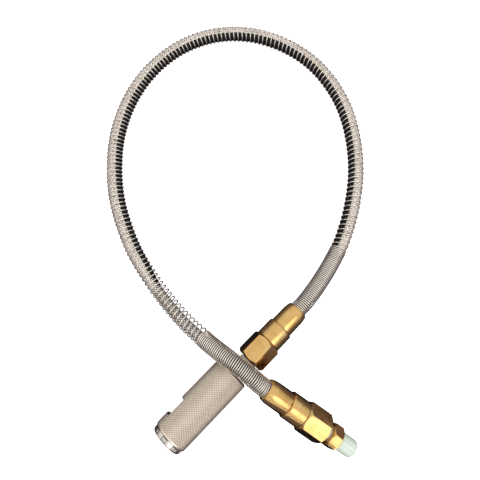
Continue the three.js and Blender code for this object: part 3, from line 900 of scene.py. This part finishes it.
def guard_phase():
    """Distances and winding angles along the guard wire, closed-wound at both ends."""
    start = -HOSE_INSERT + GUARD_END_GAP
    end = ROUTE.length + HOSE_INSERT - GUARD_END_GAP
    fine = np.arange(start, end, GUARD_FINE_STEP)
    share = ROUTE.open_share(fine)
    places, pitches = zip(*GUARD_OPEN_PITCH)
    unwound = smooth_step(share / GUARD_OPENING + 0.5) * smooth_step((1 - share) / GUARD_OPENING + 0.5)
    pitch = GUARD_CLOSED_PITCH + (np.interp(share, places, pitches) - GUARD_CLOSED_PITCH) * unwound
    phase = np.concatenate([[0], np.cumsum(GUARD_FINE_STEP / pitch[:-1])])
    turns = np.arange(0, phase[-1], 1 / GUARD_STEPS)
    return np.interp(turns, phase, fine), 2 * math.pi * turns


def add_guard(material):
    distance, angle = guard_phase()
    centre, _, inward, up = ROUTE.at(distance)
    radial = np.cos(angle)[:, None] * inward + np.sin(angle)[:, None] * up
    wire = centre + (GUARD_RADIUS - GUARD_WIRE) * radial
    travel = Route.unit(np.gradient(wire, axis=0))
    across = Route.unit(np.cross(travel, radial))
    outwards = Route.unit(np.cross(across, travel))
    mesh = swept_mesh("guard_wire", wire, outwards, across, GUARD_WIRE, GUARD_SIDES)
    return link_mesh("guard_wire", mesh, "nozzle", material, ["guard_spring"])


# ---- brass crimp fittings ----
def hexagon_mesh(name, placement, start, end, flats, turn, edge):
    """A hexagonal bar with both ends turned to a cone."""
    corner = flats / math.sqrt(3)
    vertices = []
    for station in (start, end):
        for k in range(6):
            angle = turn + math.pi * k / 3
            vertices.append([station, corner * math.cos(angle), corner * math.sin(angle)])
    faces = [[0, 1, 2, 3, 4, 5], [11, 10, 9, 8, 7, 6]]
    faces += [[k, k + 6, (k + 1) % 6 + 6, (k + 1) % 6] for k in range(6)]
    bar = outward(mesh_of(name, placement.points(vertices), faces))
    face = flats / 2 - HEX_FACE_INSET
    high = corner - HEX_CORNER_CUT
    cone = [(0, start), (face, start), (high, start + edge), (high, end - edge), (face, end), (0, end)]
    return combined(bar, turned_mesh("cone", cone, placement, edge=0.02, sides=120), "INTERSECT")


def nut_mesh(name, placement, turn):
    bar = hexagon_mesh(name, placement, NUT_START, NUT_END, NUT_FLATS, turn, NUT_EDGE)
    return combined(bar, turned_mesh("hole", NUT_HOLE_PROFILE, placement, edge=0.02, sides=64), "DIFFERENCE")


def add_crimp_fitting(prefix, placement, turn, nut_body, brass):
    pieces = []
    for part, profile in (("ferrule", FERRULE_PROFILE), ("hose_tail", TAIL_PROFILE)):
        name = f"{prefix}_{part}"
        mesh = turned_mesh(name, profile, placement, edge=0.08)
        pieces.append(link_mesh(f"{name}_turned", mesh, "nozzle", brass, [name]))
    mesh = nut_mesh(f"{prefix}_nut", placement, turn)
    nut = link_mesh(f"{prefix}_nut_hex", mesh, nut_body, brass, [f"{prefix}_hex_nut"])
    pieces.append(bevelled(nut, NUT_BEVEL))
    return pieces


def tape_mesh(name, placement, start, end, inner, outer, offset=0.0, torn=0.0):
    """Several turns of thin tape with ragged edges; torn is how far gaps sink towards the thread."""
    angles = 2 * math.pi * np.arange(TAPE_SIDES) / TAPE_SIDES
    rows = []
    for share, lift in TAPE_LAYERS:
        # the ragged edge, the lumps and the torn gaps are all waves around the thread
        ripple = 0.10 * np.sin(5 * angles + 9 * share) + 0.06 * np.sin(13 * angles + 23 * share)
        radius = inner + (outer - inner) * lift * (1 + 0.12 * np.sin(3 * angles + 4 * share))
        gaps = np.sin(4 * angles + 9 * share) * np.sin(7 * angles - 5 * share) > -0.1
        radius = np.minimum(radius, outer) - torn * gaps
        station = np.clip(start + (end - start) * share + ripple, start, end)
        rows.append(np.stack([station, radius * np.cos(angles) + offset, radius * np.sin(angles)], axis=1))
    for station in (end, start):
        ring = [np.full(TAPE_SIDES, station), inner * np.cos(angles) + offset, inner * np.sin(angles)]
        rows.append(np.stack(ring, axis=1))
    vertices = placement.points(np.concatenate(rows))
    faces = grid_faces(len(rows), TAPE_SIDES, True, True).tolist()
    return outward(mesh_of(name, vertices, faces, sharp=40))


def threaded_profile(start, end, crest, depth, pitch):
    """Profile of a solid stub with thread ridges, closed on the axis."""
    profile = [(0, start), (crest - depth, start)]
    station = start
    while station + pitch <= end:
        profile += [(crest - depth, station + 0.1 * pitch), (crest, station + 0.5 * pitch)]
        station += pitch
    return profile + [(crest - depth, station), (crest - depth, end), (0, end)]


def far_adapter_mesh():
    """Small hexagon with a threaded stub at one end and a plain stub at the other."""
    body = hexagon_mesh("far_adapter", FAR, HEX_START, HEX_END, HEX_FLATS, FAR_HEX_TURN, HEX_EDGE)
    thread = threaded_profile(STUB_START, STUB_END, STUB_CREST, STUB_THREAD_DEPTH, STUB_THREAD_PITCH)
    nut_stub = turned_mesh("stub", thread, FAR, edge=0.05, sides=64)
    cap_stub = turned_mesh("stub", rod_profile(*CAP_STUB), FAR, edge=0.3, sides=64)
    bore = turned_mesh("bore", rod_profile(*ADAPTER_BORE), FAR, edge=0.02, sides=48)
    body = combined(body, nut_stub, "UNION")
    body = combined(body, cap_stub, "UNION")
    return combined(body, bore, "DIFFERENCE")


def add_far_end(brass, tape, plastic):
    adapter = link_mesh("far_adapter_hex", far_adapter_mesh(), "nozzle", brass, ["far_adapter"])
    mesh = tape_mesh("far_tape_wrap", FAR, *FAR_TAPE, torn=FAR_TAPE_TORN)
    wrap = link_mesh("far_tape_wrap", mesh, "nozzle", tape, ["far_tape"])
    mesh = turned_mesh("cap", CAP_PROFILE, FAR, edge=0.25)
    cap = link_mesh("cap_moulded", mesh, "cap", plastic, ["far_cap"])
    return [adapter, wrap, cap]


# ---- nozzle ----
def sleeve_shell():
    """The sleeve's shell: pyramids of a diamond knurl outside, stepped bore inside."""
    columns = 2 * KNURL_AROUND
    rows = 2 * round((KNURL_END - KNURL_START) / KNURL_PITCH) + 1
    angles = 2 * math.pi * np.arange(columns) / columns
    stations = np.linspace(KNURL_START, KNURL_END, rows)
    groove = SLEEVE_RADIUS - KNURL_DEPTH
    plain = SLEEVE_PLAIN_RADIUS
    rings = [(SLEEVE_START + s, plain + r) for s, r in SLEEVE_REAR_EDGE]
    rings += [(KNURL_START - KNURL_MARGIN, plain)]
    tail = [(KNURL_END + KNURL_MARGIN, plain)]
    tail += [(SLEEVE_END + s, plain + r) for s, r in SLEEVE_FRONT_EDGE] + SLEEVE_INSIDE
    radii = [np.full(columns, r) for _, r in rings]
    places = [s for s, _ in rings]
    for row, station in enumerate(stations):
        peak = (np.arange(columns) + row) % 2 == 0
        radii.append(np.where(peak, SLEEVE_RADIUS, groove))
        places.append(station)
    radii += [np.full(columns, r) for _, r in tail]
    places += [s for s, _ in tail]
    vertices = [np.stack([np.full(columns, s), r * np.cos(angles), r * np.sin(angles)], axis=1)
                for s, r in zip(places, radii)]
    faces = []
    first = len(rings)
    quads = grid_faces(len(places), columns, True, True)
    for a, b, c, d in quads.tolist():
        row = a // columns
        if first <= row < first + rows - 1:
            peak_at_a = (a % columns + row - first) % 2 == 0
            faces += [[a, b, d], [b, c, d]] if peak_at_a else [[a, b, c], [a, c, d]]
        else:
            faces.append([a, b, c, d])
    return outward(mesh_of("sleeve", NOZZLE.points(np.concatenate(vertices)), faces, sharp=KNURL_SHARP))


def add_sleeve(nickel):
    shell = sleeve_shell()
    flat = block_mesh("flat", NOTCH_LOW, NOTCH_HIGH, NOZZLE)
    slot = block_mesh("slot", SLOT_LOW, SLOT_HIGH, NOZZLE)
    mesh = combined(combined(shell, flat, "DIFFERENCE"), slot, "DIFFERENCE")
    mesh.set_sharp_from_angle(angle=math.radians(KNURL_SHARP))
    return link_mesh("sleeve_knurled", mesh, "sleeve", nickel, ["knurled_sleeve"])


def segment_mesh(name, number, clearance=0.0, reach=0.0):
    """A segment's block, or with a clearance and a reach the cutter for its window."""
    turn = SEGMENT_TURN + 2 * math.pi * number / SEGMENT_COUNT
    low = (SEGMENT_LOW[0] - clearance, SEGMENT_LOW[1] - clearance, SEGMENT_LOW[2] - reach)
    high = (SEGMENT_HIGH[0] + clearance, SEGMENT_HIGH[1] + clearance, SEGMENT_HIGH[2] + reach)
    return block_mesh(name, low, high, NOZZLE, turn)


def add_nose(bright, hard_steel):
    mesh = turned_mesh("nose", NOSE_PROFILE, NOZZLE, edge=0.15, sides=120)
    for k in range(SEGMENT_COUNT):
        window = segment_mesh("window", k, WINDOW_CLEARANCE, WINDOW_REACH)
        mesh = combined(mesh, window, "DIFFERENCE")
    nose = link_mesh("nose_ring_polished", mesh, "nozzle", bright, ["nose_ring"])
    bevelled(nose, NOSE_BEVEL)
    for k in range(SEGMENT_COUNT):
        name = f"lock_segment_{k + 1}"
        dome = turned_mesh("dome", rod_profile(*SEGMENT_DOME), NOZZLE, edge=0.02, sides=120)
        mesh = combined(segment_mesh(name, k), dome, "INTERSECT")
        piece = link_mesh(f"{name}_ground", mesh, f"segment_{k + 1}", hard_steel, [name])
        bevelled(piece, SEGMENT_BEVEL)


def add_nozzle_inside(nickel, hard_steel, brass, rubber):
    """Pieces seen through the mouth, revolved again with fine edges."""
    angles = 2 * math.pi * np.arange(PLUG_RING_SIDES) / PLUG_RING_SIDES
    around = PLUG_RING_RADIUS + PLUG_RING_SECTION * np.cos(angles)
    along = PLUG_RING_STATION + PLUG_RING_SECTION * np.sin(angles)
    ring = list(zip(around, along))
    for node, profile, body, slot, material in (
        ("nozzle_body", BODY_PROFILE, "nozzle", "nickel_plate", nickel),
        ("poppet", POPPET_PROFILE, "valve", "hard_steel", hard_steel),
        ("valve_seat", SEAT_PROFILE, "nozzle", "brass", brass),
        ("seat_retainer", RETAINER_PROFILE, "nozzle", "hard_steel", hard_steel),
        ("plug_o_ring", ring, "nozzle", "rubber", rubber),
    ):
        mesh = turned_mesh(node, profile, NOZZLE, edge=0.12)
        link_mesh(f"{node}_turned", mesh, body, material, [node])


def add_neck(brass, tape):
    """The eccentric neck: its nut end stands beside the nozzle's axis."""
    mesh = turned_mesh("neck", NECK_FRONT_PROFILE, NOZZLE, edge=0.15, sides=72)
    rear = turned_mesh("rear", NECK_REAR_PROFILE, NOZZLE, edge=0.15, sides=72, offset=FITTING_OFFSET)
    mesh = combined(mesh, rear, "UNION")
    for bore, offset in ((NECK_REAR_BORE, FITTING_OFFSET), (NECK_FRONT_BORE, 0.0)):
        drill = turned_mesh("bore", rod_profile(*bore), NOZZLE, edge=0.02, sides=40, offset=offset)
        mesh = combined(mesh, drill, "DIFFERENCE")
    link_mesh("neck_turned", mesh, "nozzle", brass, ["neck_adapter"])
    wrap = tape_mesh("neck_tape_wrap", NOZZLE, *NECK_TAPE, offset=FITTING_OFFSET)
    link_mesh("neck_tape_wrap", wrap, "nozzle", tape, ["neck_tape"])


def dress_hidden_nodes(materials):
    """Inner pieces that keep their CAD shape get a finish."""
    for node, material in materials.items():
        mesh = frame["nodes"][node].data
        mesh.materials.clear()
        mesh.materials.append(material)


def main():
    add_studio()
    rubber = rubber_material("black_rubber", (0.012, 0.012, 0.013), roughness=0.55)
    # near-black, for the painted shade seen between the guard's turns
    shade_black_rubber = rubber_material("hose_core_shade_black", (0.004, 0.004, 0.004), roughness=0.6)
    washer = rubber_material("washer_polymer", (0.62, 0.58, 0.46), roughness=0.5)
    core, path = add_core(shade_black_rubber)
    braid = add_braid(braid_material())
    guard = add_guard(wire_material())
    near_brass = brass_material("near_brass", NEAR)
    far_brass = brass_material("far_brass", FAR)
    hard_steel = polished_material("hard_steel", NOZZLE, (0.62, 0.60, 0.57), roughness=0.25)
    bright = polished_material("bright_nickel", NOZZLE, (0.80, 0.75, 0.68), roughness=0.16)
    far_pieces = add_crimp_fitting("far", FAR, FAR_NUT_TURN, "far_nut", far_brass)
    far_pieces += add_far_end(far_brass, tape_material(FAR), cap_material())
    add_crimp_fitting("nozzle", NEAR, NUT_TURN, "nozzle_nut", near_brass)
    # the neck's brass is painted darker, as shade under the hose
    add_neck(brass_material("shaded_brass", NEAR, shade_tone=0.35), tape_material(NEAR))
    add_sleeve(nickel_material("knurled_nickel", NOZZLE))
    add_nose(bright, hard_steel)
    add_nozzle_inside(bright, hard_steel, near_brass, rubber)
    dress_hidden_nodes({
        "stop_ring": hard_steel, "sleeve_spring": hard_steel, "poppet_spring": hard_steel,
        "poppet_guide": near_brass, "poppet_seal": rubber, "neck_o_ring": rubber,
        "nozzle_thrust_washer": hard_steel, "nozzle_seal_washer": washer,
        "far_thrust_washer": hard_steel, "far_seal_washer": washer,
    })


main()
